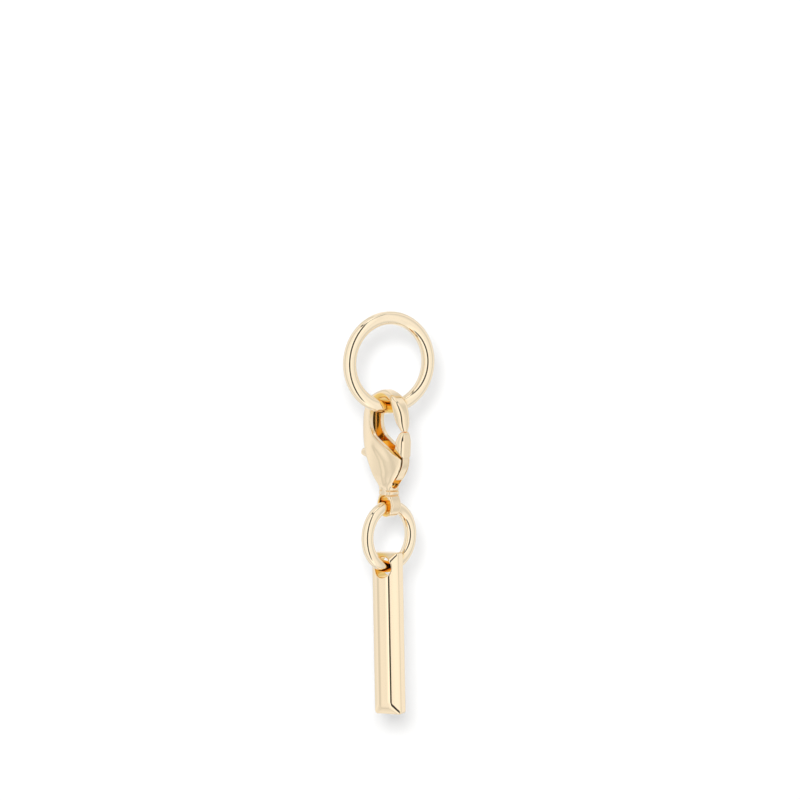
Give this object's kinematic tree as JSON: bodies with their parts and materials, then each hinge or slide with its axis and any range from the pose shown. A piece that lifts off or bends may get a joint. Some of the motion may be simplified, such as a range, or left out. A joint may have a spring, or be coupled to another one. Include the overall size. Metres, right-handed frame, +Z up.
{
  "type": "letter charm",
  "caption": "Bevelled bar letter I charm hanging by a jump ring from a lobster clasp on a plain ring, in pale polished gold.",
  "frame": {"origin": "inside top of the large ring, where the charm hangs", "axes": "+Z up along the chain, -Y out of the letter's front, +X to the letter's right as seen from its front"},
  "size_m": [0.014, 0.0172, 0.0791],
  "materials": {
    "ring_gold": "polished pale gold plate",
    "clasp_gold": "polished pale gold plate",
    "letter_gold": "polished pale gold plate",
    "pin_metal": "plain turned"
  },
  "bodies": {
    "ring": {"large_ring": "ring_gold"},
    "clasp": {"clasp_body": "clasp_gold", "pivot_pin": "pin_metal"},
    "lever": {"clasp_lever": "clasp_gold"},
    "link": {"jump_ring": "ring_gold"},
    "letter": {"letter_bar": "letter_gold"}
  },
  "joints": [
    {"name": "clasp_swing", "type": "hinge", "parent": "ring", "child": "clasp", "pos_m": [0, 0, -0.0161], "axis": [0.5446, 0.8387, 0], "range_deg": [-60, 60]},
    {"name": "lever_turn", "type": "hinge", "parent": "clasp", "child": "lever", "pos_m": [0.0032, -0.00142, -0.0274], "axis": [-0.4067, -0.9135, 0], "range_deg": [0, 26], "stiffness_Nm_per_rad": 0.004, "springref_deg": -11.46},
    {"name": "link_swing", "type": "hinge", "parent": "clasp", "child": "link", "pos_m": [0, 0, -0.03728], "axis": [0.9135, -0.4067, 0], "range_deg": [-10, 10]},
    {"name": "letter_swing", "type": "hinge", "parent": "link", "child": "letter", "pos_m": [-0.0003, -0.00065, -0.04739], "axis": [0, 1, 0], "range_deg": [-60, 60]}
  ]
}
